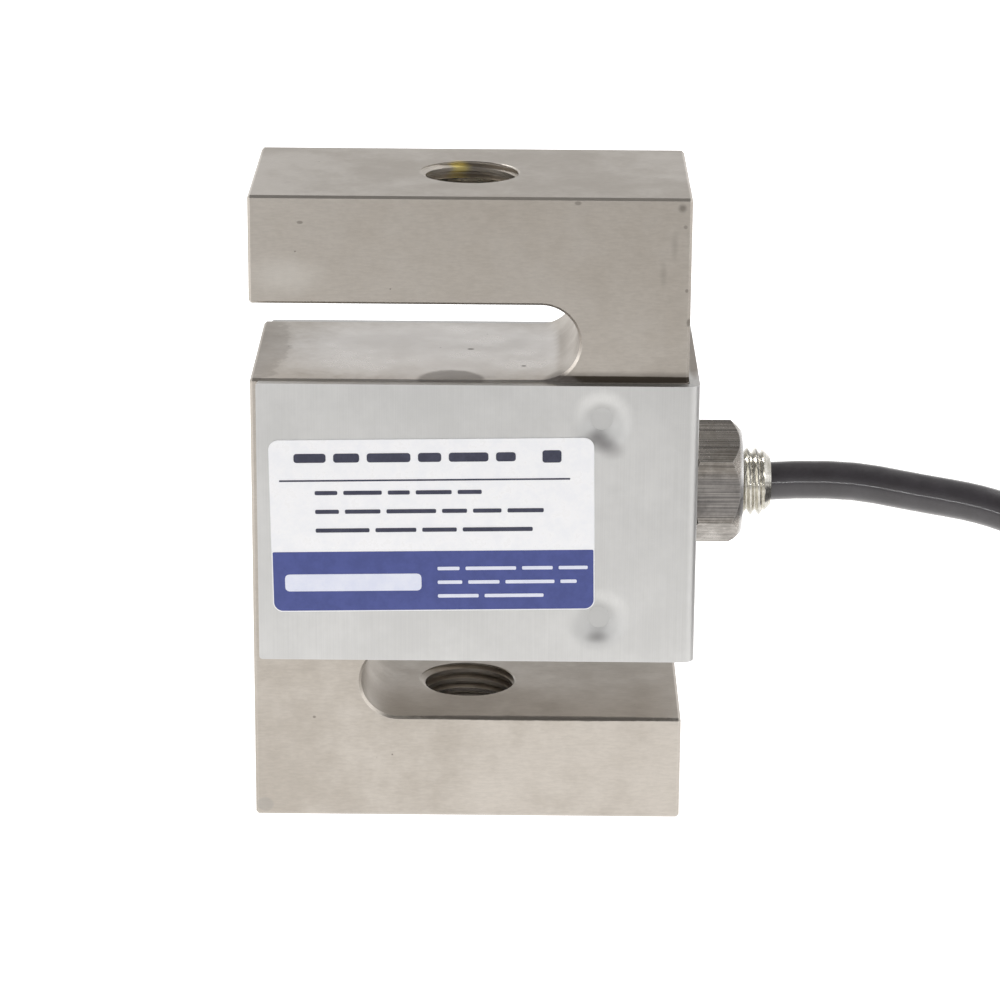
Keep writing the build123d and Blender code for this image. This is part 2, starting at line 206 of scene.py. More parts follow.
class Effects:
    """The surface effects that several finishes share, each a node group that is built once."""

    def __init__(self) -> None:
        """Starts with no group built."""
        self.built: dict[str, bpy.types.NodeTree] = {}

    def start(self, name: str, inputs: dict[str, object], output: str) -> tuple[Graph, dict, object]:
        """Opens a group with named inputs and one named output.

        Args:
            name: The effect's name.
            inputs: Each input's name and what it is unless a finish says otherwise.
            output: The name of what comes out.

        Returns:
            The graph, its input sockets by name and the socket to feed.
        """
        tree = bpy.data.node_groups.new(name, "ShaderNodeTree")
        for label, value in inputs.items():
            kind = "NodeSocketVector" if isinstance(value, tuple) else "NodeSocketFloat"
            tree.interface.new_socket(label, in_out="INPUT", socket_type=kind).default_value = value
        tree.interface.new_socket(output, in_out="OUTPUT", socket_type="NodeSocketFloat")
        entry = tree.nodes.new("NodeGroupInput")
        end = tree.nodes.new("NodeGroupOutput")
        self.built[name] = tree
        return Graph(tree), {label: entry.outputs[label] for label in inputs}, end.inputs[output]

    def use(self, graph: Graph, name: str, **values: object) -> bpy.types.NodeSocket:
        """Places an effect in a material.

        Args:
            graph: The material's graph.
            name: The effect's name, which is also the method that builds it.
            **values: The effect's inputs, with their names in lower case.

        Returns:
            The effect's output.
        """
        if name not in self.built:
            getattr(self, name)()
        inputs = {key.title(): value for key, value in values.items()}
        return graph.node("ShaderNodeGroup", inputs, node_tree=self.built[name]).outputs[0]

    def grain(self) -> None:
        """Builds streaks: noise that is read more slowly along one direction than across it."""
        graph, inputs, out = self.start("grain", {"Stretch": (1.0, 1.0, 1.0), "Offset": 0.0}, "Value")
        point = graph.vector("MULTIPLY", graph.place_mm(), inputs["Stretch"]).outputs[0]
        moved = graph.vector("ADD", point, inputs["Offset"]).outputs[0]
        graph.feed(out, graph.noise(moved, scale=1.0, detail=5.0, roughness=0.65))

    def mottle(self) -> None:
        """Builds the cloudy patches of a plated or cast surface, from 0 to 1."""
        graph, inputs, out = self.start("mottle", {"Scale": 0.2, "Offset": 0.0}, "Value")
        point = graph.vector("ADD", graph.place_mm(), inputs["Offset"]).outputs[0]
        finer, broad_share = 5.3, 0.7
        broad = graph.noise(point, inputs["Scale"], detail=4.0, roughness=0.6)
        fine = graph.noise(point, graph.math("MULTIPLY", inputs["Scale"], finer), detail=3.0, roughness=0.7)
        lower = graph.math("MULTIPLY", broad, broad_share)
        both = graph.math("ADD", lower, graph.math("MULTIPLY", fine, 1 - broad_share))
        graph.feed(out, graph.ramp(both, low=0.36, high=0.64))

    def edge_line(self) -> None:
        """Builds a mask of the edges, where handling polishes or dulls them and where they carry a painted
        highlight.
        """
        graph, inputs, out = self.start("edge_line", {"Radius": 0.3, "Broken": 0.4}, "Mask")
        radius = graph.math("MULTIPLY", inputs["Radius"], MM)
        soft = graph.node("ShaderNodeBevel", {"Radius": radius}, samples=6).outputs[0]
        flat = graph.node("ShaderNodeNewGeometry").outputs["Normal"]
        agree = graph.vector("DOT_PRODUCT", soft, flat).outputs[1]
        edge = graph.ramp(agree, low=0.995, high=0.86)
        patches = graph.noise(graph.place_mm(), scale=0.9, detail=4.0, roughness=0.7)
        gaps = graph.ramp(patches, low=0.4, high=0.62)
        kept = graph.math("SUBTRACT", 1.0, graph.math("MULTIPLY", gaps, inputs["Broken"]))
        graph.feed(out, graph.math("MULTIPLY", edge, kept))

    def specks(self) -> None:
        """Builds a mask of small scattered pits or grains of dust."""
        graph, inputs, out = self.start("specks", {"Scale": 1.0, "Amount": 0.1, "Size": 0.2}, "Mask")
        cells = graph.node("ShaderNodeTexVoronoi", {"Vector": graph.place_mm(), "Scale": inputs["Scale"]})
        chance = graph.node("ShaderNodeSeparateColor", {0: cells.outputs["Color"]}).outputs[0]
        chosen = graph.math("LESS_THAN", chance, inputs["Amount"])
        inside = graph.math("SUBTRACT", inputs["Size"], cells.outputs["Distance"])
        graph.feed(out, graph.math("MULTIPLY", chosen, graph.ramp(inside, low=0.0, high=0.08)))

    def scratches(self) -> None:
        """Builds a mask of hairline scratches along one direction."""
        graph, inputs, out = self.start("scratches", {"Stretch": (0.05, 1.0, 2.0), "Width": 0.004}, "Mask")
        point = graph.vector("MULTIPLY", graph.place_mm(), inputs["Stretch"]).outputs[0]
        middle = 0.5
        streaks = graph.noise(point, scale=1.0, detail=2.0, roughness=0.5)
        level = graph.math("ABSOLUTE", graph.math("SUBTRACT", streaks, middle))
        line = graph.math("LESS_THAN", level, inputs["Width"])
        clouds = graph.noise(graph.place_mm(), scale=0.23, detail=2.0, roughness=0.5)
        patch = graph.ramp(clouds, low=0.5, high=0.6)
        graph.feed(out, graph.math("MULTIPLY", line, patch))

    def stain_and_painted_light(self) -> None:
        """Builds one soft mark at a place of its own, in millimetres, for stains and for patches of painted
        shade and painted light.
        """
        start = {"Centre": (0.0, 0.0, 0.0), "Radii": (1.0, 1.0, 1.0), "Softness": 0.4, "Wobble": 0.2}
        graph, inputs, out = self.start("stain_and_painted_light", start, "Mask")
        point = graph.place_mm()
        middle = 0.5
        away = graph.vector("SUBTRACT", point, inputs["Centre"]).outputs[0]
        shares = graph.vector("DIVIDE", away, inputs["Radii"]).outputs[0]
        distance = graph.node("ShaderNodeVectorMath", {0: shares}, operation="LENGTH").outputs[1]
        ragged = graph.math("SUBTRACT", graph.noise(point, scale=0.8, detail=4.0, roughness=0.65), middle)
        reached = graph.math("ADD", distance, graph.math("MULTIPLY", ragged, inputs["Wobble"]))
        inside = graph.math("DIVIDE", graph.math("SUBTRACT", 1.0, reached), inputs["Softness"])
        graph.feed(out, graph.ramp(inside, low=0.0, high=1.0))

    def settled(self) -> None:
        """Builds the thin film of dust that lies on faces that look up."""
        graph, inputs, out = self.start("settled", {"Amount": 0.3}, "Mask")
        normal = graph.node("ShaderNodeNewGeometry").outputs["Normal"]
        height = graph.node("ShaderNodeSeparateXYZ", {0: normal}).outputs[2]
        upward = graph.ramp(height, low=0.5, high=1.0)
        clouds = graph.noise(graph.place_mm(), scale=0.6, detail=5.0, roughness=0.7)
        patches = graph.ramp(clouds, low=0.35, high=0.7)
        graph.feed(out, graph.math("MULTIPLY", graph.math("MULTIPLY", upward, patches), inputs["Amount"]))


EFFECTS = Effects()


class Grain(Enum):
    """The direction in which a surface was brushed, turned or drawn, as cycles per millimetre."""

    ALONG_X = (0.06, 7.0, 7.0)
    ALONG_Z = (7.0, 7.0, 0.06)
    ROUND = (6.0, 0.4, 0.4)
    SATIN = (1.1, 5.0, 5.0)
    FINE = (3.0, 3.0, 3.0)
    FINER = (9.0, 9.0, 9.0)


@dataclass(frozen=True)
class Mark:
    """A smudge, nick or stained spot, or a patch of painted shade or painted light: where it is and how
    strong, in millimetres.
    """

    centre: tuple[float, float, float]
    radii: tuple[float, float, float]
    strength: float
    tint: tuple[float, float, float, float] = (0.05, 0.04, 0.03, 1.0)
    softness: float = 0.5
    wobble: float = 0.3
    dulling: float = 0.12


@dataclass(frozen=True)
class Finish:
    """What every finish has: its own name and the record's material slot."""

    name: str
    slot: str
    roughness: float = field(default=0.4, kw_only=True)
    spread: float = field(default=0.08, kw_only=True)

    def gloss(self, graph: Graph, patches: object) -> bpy.types.NodeSocket:
        """Gives a roughness that is lower where the patches are stronger.

        Args:
            graph: The material's graph.
            patches: The socket with the patches, from 0 to 1.

        Returns:
            The socket that holds the roughness.
        """
        dull, bright = self.roughness + self.spread / 2, self.roughness - self.spread / 2
        return graph.ramp(patches, low=0.0, high=1.0, start=dull, end=bright)

    def material(self) -> bpy.types.Material:
        """Builds the finish once and gives its material."""
        found = bpy.data.materials.get(self.name)
        if found:
            return found
        made = bpy.data.materials.new(self.name)
        made.use_nodes = True
        shader = made.node_tree.nodes["Principled BSDF"]
        self.wire(Graph(made.node_tree), shader)
        return made

    def wire(self, graph: Graph, shader: bpy.types.Node) -> None:
        """Wires the finish into the shader; each kind of finish has its own."""
        raise NotImplementedError

    def bump(self, graph: Graph, shader: bpy.types.Node, height: object) -> None:
        """Raises the surface by a height in millimetres.

        Args:
            graph: The material's graph.
            shader: The shader whose normal is turned.
            height: The socket with the height.
        """
        made = graph.node("ShaderNodeBump", {"Height": height, "Strength": 1.0, "Distance": MM})
        graph.feed(shader.inputs["Normal"], made.outputs[0])

    def dress(self, piece: bpy.types.Object) -> None:
        """Gives a piece this finish."""
        piece.data.materials.clear()
        piece.data.materials.append(self.material())


@dataclass(frozen=True)
class Plated(Finish):
    """Satin plating on steel, with cloudy patches, streaks, edges lightened by wear and a painted highlight,
    and marks that are stains, nicks, painted shade and painted light.
    """

    dark: tuple = (0.475, 0.435, 0.388, 1.0)
    light: tuple = (0.565, 0.525, 0.478, 1.0)
    roughness: float = 0.38
    patch_scale: float = 0.055
    grain: Grain = Grain.SATIN
    grain_depth: float = 0.0012
    grain_tone: float = 0.05
    hairline_amount: float = 0.12
    edge_tone: tuple = (0.72, 0.70, 0.66, 1.0)
    edge_amount: float = 0.5
    edge_radius: float = 0.25
    pit_amount: float = 0.05
    pit_tone: tuple = srgb(60, 50, 42)
    pit_shade: float = 0.6
    pit_depth: float = 0.02
    dust: float = 0.12
    dust_tone: tuple = srgb(205, 200, 190)
    marks: tuple[Mark, ...] = ()

    def wire(self, graph: Graph, shader: bpy.types.Node) -> None:
        """Wires patches, grain, edges (wear with a painted highlight), pits and marks (stains, nicks, painted
        shade and painted light) into the metal.

        Args:
            graph: The material's graph.
            shader: The shader to feed.
        """
        clouds = EFFECTS.use(graph, "mottle", scale=self.patch_scale)
        streaks = EFFECTS.use(graph, "grain", stretch=self.grain.value)
        edges = EFFECTS.use(graph, "edge_line", radius=self.edge_radius)
        pits = EFFECTS.use(graph, "specks", scale=0.55, amount=self.pit_amount, size=0.09)
        dust = EFFECTS.use(graph, "settled", amount=self.dust)
        hairlines = EFFECTS.use(graph, "scratches", stretch=(0.07, 0.6, 0.9), width=0.0015)
        tone = graph.blend(clouds, self.dark, self.light)
        darker, lighter = 1.0 - self.grain_tone, 1.0 + self.grain_tone
        shade = graph.ramp(streaks, low=0.3, high=0.7, start=darker, end=lighter)
        grey = graph.node("ShaderNodeCombineColor", {0: shade, 1: shade, 2: shade}).outputs[0]
        tone = graph.blend(1.0, tone, grey, "MULTIPLY")
        tone = graph.blend(graph.math("MULTIPLY", hairlines, self.hairline_amount), tone, self.edge_tone)
        # Edges lightened: worn plating with a painted highlight along the arrises.
        tone = graph.blend(graph.math("MULTIPLY", edges, self.edge_amount), tone, self.edge_tone)
        rough = self.gloss(graph, clouds)
        # Marks: stains, nicks and patches of painted shade and painted light, each tinting the tone and
        # changing the roughness.
        for mark in self.marks:
            mask = EFFECTS.use(
                graph,
                "stain_and_painted_light",
                centre=mark.centre,
                radii=mark.radii,
                softness=mark.softness,
                wobble=mark.wobble,
            )
            amount = graph.math("MULTIPLY", mask, mark.strength)
            tone = graph.blend(amount, tone, mark.tint)
            rough = graph.math("ADD", rough, graph.math("MULTIPLY", amount, mark.dulling))
        tone = graph.blend(graph.math("MULTIPLY", pits, self.pit_shade), tone, self.pit_tone)
        tone = graph.blend(dust, tone, self.dust_tone)
        graph.feed(shader.inputs["Base Color"], tone)
        graph.feed(shader.inputs["Roughness"], rough)
        shader.inputs["Metallic"].default_value = 1.0
        low = graph.math("MULTIPLY", streaks, self.grain_depth)
        pitted = graph.math("SUBTRACT", low, graph.math("MULTIPLY", pits, self.pit_depth))
        self.bump(graph, shader, pitted)


@dataclass(frozen=True)
class Moulded(Finish):
    """A plastic, rubber, film or lacquer: coloured, faintly mottled, with its own gloss."""

    colour: tuple = (0.1, 0.1, 0.1, 1.0)
    shadow: tuple = (0.05, 0.05, 0.05, 1.0)
    roughness: float = 0.45
    spread: float = 0.1
    patch_scale: float = 0.5
    grain: Grain = Grain.FINE
    grain_depth: float = 0.004
    lump_depth: float = 0.0
    lump_scale: float = 0.35
    dust: float = 0.1
    dust_tone: tuple = srgb(170, 165, 160)
    speck_tone: tuple = srgb(190, 180, 165)
    speck_shade: float = 0.5
    coat: float = 0.0
    coat_roughness: float = 0.1

    def wire(self, graph: Graph, shader: bpy.types.Node) -> None:
        """Wires tone, gloss, grain and dust into the shader.

        Args:
            graph: The material's graph.
            shader: The shader to feed.
        """
        patches = EFFECTS.use(graph, "mottle", scale=self.patch_scale)
        streaks = EFFECTS.use(graph, "grain", stretch=self.grain.value)
        dust = EFFECTS.use(graph, "settled", amount=self.dust)
        specks = EFFECTS.use(graph, "specks", scale=0.8, amount=0.04, size=0.07)
        tone = graph.blend(patches, self.shadow, self.colour)
        tone = graph.blend(dust, tone, self.dust_tone)
        tone = graph.blend(graph.math("MULTIPLY", specks, self.speck_shade), tone, self.speck_tone)
        graph.feed(shader.inputs["Base Color"], tone)
        graph.feed(shader.inputs["Roughness"], self.gloss(graph, patches))
        shader.inputs["Coat Weight"].default_value = self.coat
        shader.inputs["Coat Roughness"].default_value = self.coat_roughness
        height = graph.math("MULTIPLY", streaks, self.grain_depth)
        if self.lump_depth:
            lumps = graph.noise(graph.place_mm(), self.lump_scale, detail=2.0, roughness=0.5)
            height = graph.math("ADD", height, graph.math("MULTIPLY", lumps, self.lump_depth))
        self.bump(graph, shader, height)


FRONT = -12.7
COVER_FRONT = -13.6
SLOT_FLOOR = 12.7
LEDGE = 54.5
GLAND_HEIGHT = 38.5
TOP = 76.2
BORE_STEEL_AND_PAINTED_GLINT = (0.95, 0.92, 0.86, 1.0)
SHADE = (0.35, 0.34, 0.33, 1.0)
WIPED = (0.80, 0.78, 0.74, 1.0)
PAINTED_LEDGE_LIGHT = (0.86, 0.84, 0.83, 1.0)
OILED = (0.20, 0.18, 0.17, 1.0)
HANDLED = (0.30, 0.27, 0.24, 1.0)
PAINTED_YELLOW_REFLECTION = (1.0, 0.86, 0.30, 1.0)
STAKE_PAINTED_SHADE = (0.16, 0.145, 0.15, 1.0)
PUNCHED = (0.655, 0.655, 0.65, 1.0)
DARK_BROWN = (0.26, 0.22, 0.18, 1.0)
PAINTED_NUT_HIGHLIGHT = (0.95, 0.95, 0.96, 1.0)
PAINTED_FACET_SHADE = (0.22, 0.22, 0.235, 1.0)
BODY_MARKS = (
    Mark((-19.4, FRONT, 73.1), (0.45, 2.0, 0.25), 0.45),
    Mark((24.2, FRONT, 75.1), (0.7, 2.0, 0.7), 0.5, softness=0.8),
    Mark((24.6, FRONT, 72.9), (0.3, 2.0, 0.3), 0.35),
    Mark((23.4, FRONT, 70.6), (0.6, 2.0, 2.4), 0.16, softness=1.0),
    Mark((22.2, FRONT, 67.4), (0.6, 2.0, 2.4), 0.16, softness=1.0),
    Mark((25.2, FRONT, 61.6), (0.3, 2.0, 0.6), 0.5),
    Mark((24.9, FRONT, 65.4), (0.25, 2.0, 0.3), 0.4),
    Mark((12.3, FRONT, 75.6), (0.5, 2.0, 0.3), 0.4),
    Mark((-24.3, FRONT, 1.3), (1.2, 2.0, 1.0), 0.35, tint=SHADE, softness=0.3),
    Mark((-18.3, FRONT, 12.6), (0.25, 2.0, 0.2), 0.45),
    # Painted shade: a near-black line in the crevice between the body and the cover's top edge.
    Mark((15.0, FRONT, 54.75), (27.0, 0.8, 0.5), 0.97, wobble=0.1, softness=0.35),
    # Painted shade: a soft dark band on the body just above the cover's top edge.
    Mark((18.0, FRONT, 55.2), (24.0, 0.8, 0.7), 0.35, wobble=0.2, softness=0.9),
    Mark((-21.0, FRONT, 66.8), (5.5, 2.0, 3.2), 0.30, tint=WIPED, softness=0.9),
    # Painted light: the whole ledge lightened, standing in for the bright backdrop that it reflects; it is
    # also made glossier.
    Mark((-3.0, 0.0, LEDGE), (26.0, 18.0, 1.0), 0.6, tint=PAINTED_LEDGE_LIGHT, softness=0.5, dulling=-0.13),
    Mark((-2.1, FRONT, LEDGE), (4.3, 4.7, 1.0), 0.62, tint=OILED, softness=0.2, wobble=0.2),
    Mark((10.5, FRONT, LEDGE), (2.2, 3.4, 1.2), 0.5, tint=OILED, softness=0.4, wobble=0.3),
    Mark((-25.6, 0.5, LEDGE), (4.4, 15.5, 1.0), 0.42, tint=HANDLED, softness=0.2, wobble=0.9),
    Mark((0.0, 0.7, LEDGE), (0.5, 0.4, 1.0), 0.7),
    Mark((6.3, -6.4, LEDGE), (0.4, 0.4, 1.0), 0.7),
    # The upper bore's thread, lightened well beyond bare steel as a painted glint, and made glossier.
    Mark(
        (0.0, 0.0, TOP - 5.0), (6.5, 6.5, 6.6), 0.9, tint=BORE_STEEL_AND_PAINTED_GLINT, softness=0.05, wobble=0.0, dulling=-0.28
    ),
    # Painted reflection: a yellow glow on the back wall of the upper bore, just below its mouth.
    Mark((-1.6, 5.6, TOP - 0.8), (1.9, 1.2, 1.1), 0.85, tint=PAINTED_YELLOW_REFLECTION, softness=0.7),
    Mark((0.0, 0.0, 6.0), (6.5, 6.5, 7.0), 0.9, tint=SHADE, softness=0.05, wobble=0.0, dulling=-0.2),
    # Painted shade: a dark wavy band along the front arris of the lower slot's floor.
    Mark((9.5, FRONT + 0.1, SLOT_FLOOR + 0.05), (21.0, 0.7, 0.5), 0.6, wobble=0.5, softness=0.3),
)
COVER_MARKS = (
    Mark(
        (15.4, COVER_FRONT, 49.2), (4.0, 1.5, 3.8), 1.0, tint=PUNCHED, softness=0.5, wobble=0.1, dulling=0.3
    ),
    Mark(
        (15.1, COVER_FRONT, 25.0), (4.0, 1.5, 3.8), 1.0, tint=PUNCHED, softness=0.5, wobble=0.1, dulling=0.3
    ),
    # Painted shade: dark patches on the lower slopes of the upper and lower stake dents.
    Mark((14.7, COVER_FRONT, 48.1), (1.7, 1.5, 1.2), 0.42, tint=STAKE_PAINTED_SHADE, softness=1.0, wobble=0.1),
    Mark((15.6, COVER_FRONT, 47.3), (2.1, 1.5, 1.5), 0.46, tint=STAKE_PAINTED_SHADE, softness=1.0, wobble=0.1),
    Mark((16.6, COVER_FRONT, 46.6), (2.3, 1.5, 1.5), 0.46, tint=STAKE_PAINTED_SHADE, softness=1.0, wobble=0.1),
    Mark((15.2, COVER_FRONT, 23.4), (1.9, 1.5, 1.0), 0.38, tint=STAKE_PAINTED_SHADE, softness=1.0, wobble=0.1),
    # A dark brown band along the top edge of the cover's side wall by the gland.
    Mark((26.2, 1.0, 54.6), (1.2, 14.0, 0.7), 0.75, tint=DARK_BROWN, softness=0.3, wobble=0.2),
)
NUT_MARKS = (
    # Painted highlight: a near-white band round the nut's outer end, where its chamfer shows a bright
    # reflection; it is also made glossier.
    Mark(
        (32.6, 0.0, GLAND_HEIGHT), (0.95, 9.0, 9.0), 0.9, tint=PAINTED_NUT_HIGHLIGHT, softness=0.4, wobble=0.1, dulling=-0.05
    ),
    # Painted shade: the nut's front flat darkened to a cool grey.
    Mark((29.6, -6.5, GLAND_HEIGHT), (8.0, 2.5, 3.4), 0.35, tint=PAINTED_FACET_SHADE, softness=0.4, wobble=0.2),
)


def core(name: str, colour: tuple, shadow: tuple) -> Moulded:
    """Gives the finish of one of the cable's coloured cores.

    Args:
        name: The core's colour in words.
        colour: Its lighter tone.
        shadow: Its darker tone.

    Returns:
        The finish.
    """
    return Moulded(f"{name}_core", f"core_{name}", colour=colour, shadow=shadow, roughness=0.3)


class Finishes(Enum):
    """Every finish on the load cell."""

    BODY = Plated("satin_nickel_plating", "body_steel", marks=BODY_MARKS)
    COVER = Plated(
        "brushed_cover_sheet",
        "cover_steel",
        dark=(0.62, 0.62, 0.615, 1.0),
        light=(0.69, 0.69, 0.685, 1.0),
        roughness=0.42,
        spread=0.04,
        patch_scale=0.05,
        grain=Grain.ALONG_Z,
        grain_depth=0.0015,
        grain_tone=0.025,
        edge_tone=(0.80, 0.81, 0.83, 1.0),
        edge_amount=0.3,
        pit_amount=0.01,
        marks=COVER_MARKS,
    )
    NUT = Plated(
        "milled_nut_plating",
        "gland_metal",
        dark=(0.25, 0.228, 0.205, 1.0),
        light=(0.42, 0.39, 0.36, 1.0),
        roughness=0.30,
        spread=0.12,
        patch_scale=0.4,
        grain=Grain.ALONG_X,
        grain_depth=0.012,
        grain_tone=0.6,
        hairline_amount=0.6,
        edge_tone=(0.85, 0.83, 0.8, 1.0),
        pit_amount=0.12,
        marks=NUT_MARKS,
    )
    SLEEVE = Plated(
        "turned_sleeve_plating",
        "gland_metal",
        dark=(0.58, 0.56, 0.50, 1.0),
        light=(0.84, 0.82, 0.76, 1.0),
        roughness=0.2,
        spread=0.1,
        patch_scale=0.5,
        grain=Grain.ROUND,
        grain_depth=0.004,
        grain_tone=0.15,
        edge_tone=(0.95, 0.94, 0.92, 1.0),
    )
    TERMINAL = Plated(
        "gilt_terminal",
        "terminal_metal",
        dark=(0.62, 0.42, 0.12, 1.0),
        light=(0.86, 0.66, 0.28, 1.0),
        patch_scale=0.7,
    )
    TINNED = Plated(
        "tinned_copper",
        "tinned_wire",
        dark=(0.5, 0.49, 0.47, 1.0),
        light=(0.78, 0.77, 0.74, 1.0),
        patch_scale=1.2,
        grain=Grain.FINER,
    )
    FILM = Moulded(
        "printed_film",
        "label_film",
        colour=srgb(246, 246, 248),
        shadow=srgb(240, 241, 245),
        roughness=0.32,
        grain_depth=0.001,
        dust=0.02,
        coat=0.3,
    )
    FIELD_INK = Moulded(
        "blue_field_ink",
        "label_film",
        colour=srgb(64, 76, 146),
        shadow=srgb(56, 68, 134),
        roughness=0.34,
        grain_depth=0.001,
        dust=0.02,
        coat=0.3,
    )
    DARK_INK = Moulded(
        "dark_ink",
        "label_film",
        colour=srgb(62, 64, 84),
        shadow=srgb(48, 50, 70),
        roughness=0.35,
        dust=0.02,
    )
    PALE_INK = Moulded(
        "pale_ink",
        "label_film",
        colour=srgb(228, 231, 244),
        shadow=srgb(220, 224, 241),
        roughness=0.35,
        dust=0.0,
    )
    COMPOUND = Moulded(
        "cast_sealing_compound",
        "sealing_compound",
        colour=srgb(46, 44, 44),
        shadow=srgb(30, 29, 30),
        roughness=0.5,
        grain_depth=0.02,
        lump_depth=0.05,
    )
    GAUGE = Moulded(
        "amber_gauge_film",
        "gauge_film",
        colour=srgb(196, 128, 46),
        shadow=srgb(160, 96, 30),
        roughness=0.25,
        coat=0.4,
    )
    BOARD = Moulded(
        "coated_green_board",
        "board_green",
        colour=srgb(30, 104, 58),
        shadow=srgb(18, 76, 42),
        roughness=0.3,
        coat=0.5,
    )
    RESISTOR = Moulded("resistor_moulding", "resistor_body", colour=srgb(58, 58, 62), shadow=srgb(38, 38, 42))
    JACKET = Moulded(
        "extruded_cable_jacket",
        "cable_jacket",
        colour=srgb(54, 50, 55),
        shadow=srgb(45, 41, 45),
        roughness=0.38,
        spread=0.06,
        patch_scale=0.3,
        grain=Grain.FINE,
        grain_depth=0.004,
        lump_depth=0.5,
        lump_scale=0.12,
        dust=0.03,
        coat=1.0,
    )
    STRAP = Moulded(
        "moulded_strap",
        "strap_plastic",
        colour=srgb(38, 38, 40),
        shadow=srgb(26, 26, 28),
        roughness=0.4,
    )
    SHRINK = Moulded(
        "shrunk_sleeve",
        "shrink_plastic",
        colour=srgb(34, 34, 36),
        shadow=srgb(22, 22, 24),
        lump_depth=0.04,
    )
    CORE_RED = core("red", srgb(186, 34, 32), srgb(156, 24, 24))
    CORE_BLACK = core("black", srgb(34, 33, 35), srgb(22, 22, 24))
    CORE_GREEN = core("green", srgb(34, 132, 62), srgb(24, 104, 48))
    CORE_WHITE = core("white", srgb(228, 226, 220), srgb(206, 204, 196))


def new_piece(name: str, points: list[Vector], faces: list[tuple[int, ...]]) -> bpy.types.Object:
    """Makes a mesh piece and links it to the scene.

    Args:
        name: The piece's name.
        points: Its vertices in metres, in the shared frame.
        faces: Its faces, as places in the list of points.

    Returns:
        The new object.
    """
    mesh = bpy.data.meshes.new(name)
    mesh.from_pydata([tuple(p) for p in points], [], faces)
    mesh.validate()
    piece = bpy.data.objects.new(name, mesh)
    bpy.context.scene.collection.objects.link(piece)
    return piece


def smooth(piece: bpy.types.Object, sharp_deg: float = 30.0) -> None:
    """Shades a mesh smooth, apart from edges sharper than an angle."""
    piece.data.shade_smooth()
    piece.data.set_sharp_from_angle(angle=math.radians(sharp_deg))


@dataclass
class Thread:
    """A screw thread's form, in millimetres."""

    pitch: float
    minor: float
    major: float
    crest_share: float = 1 / 8
    root_share: float = 1 / 4
    segments: int = 64

    def profile(self) -> list[tuple[float, float]]:
        """Gives one pitch of the form.

        Returns:
            Pairs of the rise along the axis and the radius.
        """
        crest = self.pitch * self.crest_share
        root = self.pitch * self.root_share
        flank = (self.pitch - crest - root) / 2
        cut = root + flank
        return [(0.0, self.minor), (root, self.minor), (cut, self.major), (cut + crest, self.major)]

    def tap(self, name: str, low: float, high: float) -> bpy.types.Object:
        """Makes the solid that a tap sweeps, along Z at the origin.

        Args:
            name: The object's name.
            low: The height at which it starts.
            high: The height at which it ends.

        Returns:
            The closed helical solid.
        """
        form = self.profile()
        count = int((high - low) / self.pitch * self.segments)
        points: list[Vector] = []
        for i in range(count + 1):
            angle = 2 * math.pi * i / self.segments
            base = low + self.pitch * i / self.segments
            for rise, radius in form:
                points.append(mm(radius * math.cos(angle), radius * math.sin(angle), base + rise))
        size = len(form)
        faces = []
        for i in range(count):
            for k in range(size - 1):
                a = i * size + k
                faces.append((a, a + size, a + size + 1, a + 1))
            if i + self.segments + 1 <= count:
                a = i * size + size - 1
                b = (i + self.segments) * size
                faces.append((a, a + size, b + size, b))
        first = [i * size for i in range(self.segments + 1)] + [k for k in range(size - 1, 0, -1)]
        last_start = count - self.segments
        top = [i * size + size - 1 for i in range(last_start, count + 1)]
        top += [count * size + k for k in range(size - 2, -1, -1)]
        under = len(points)
        points.append(mm(0.0, 0.0, low - self.pitch))
        over = len(points)
        points.append(mm(0.0, 0.0, high + 2 * self.pitch))
        for ring, apex in ((first, under), (top, over)):
            for a, b in zip(ring, ring[1:] + ring[:1]):
                faces.append((b, a, apex) if apex == under else (a, b, apex))
        return new_piece(name, points, faces)


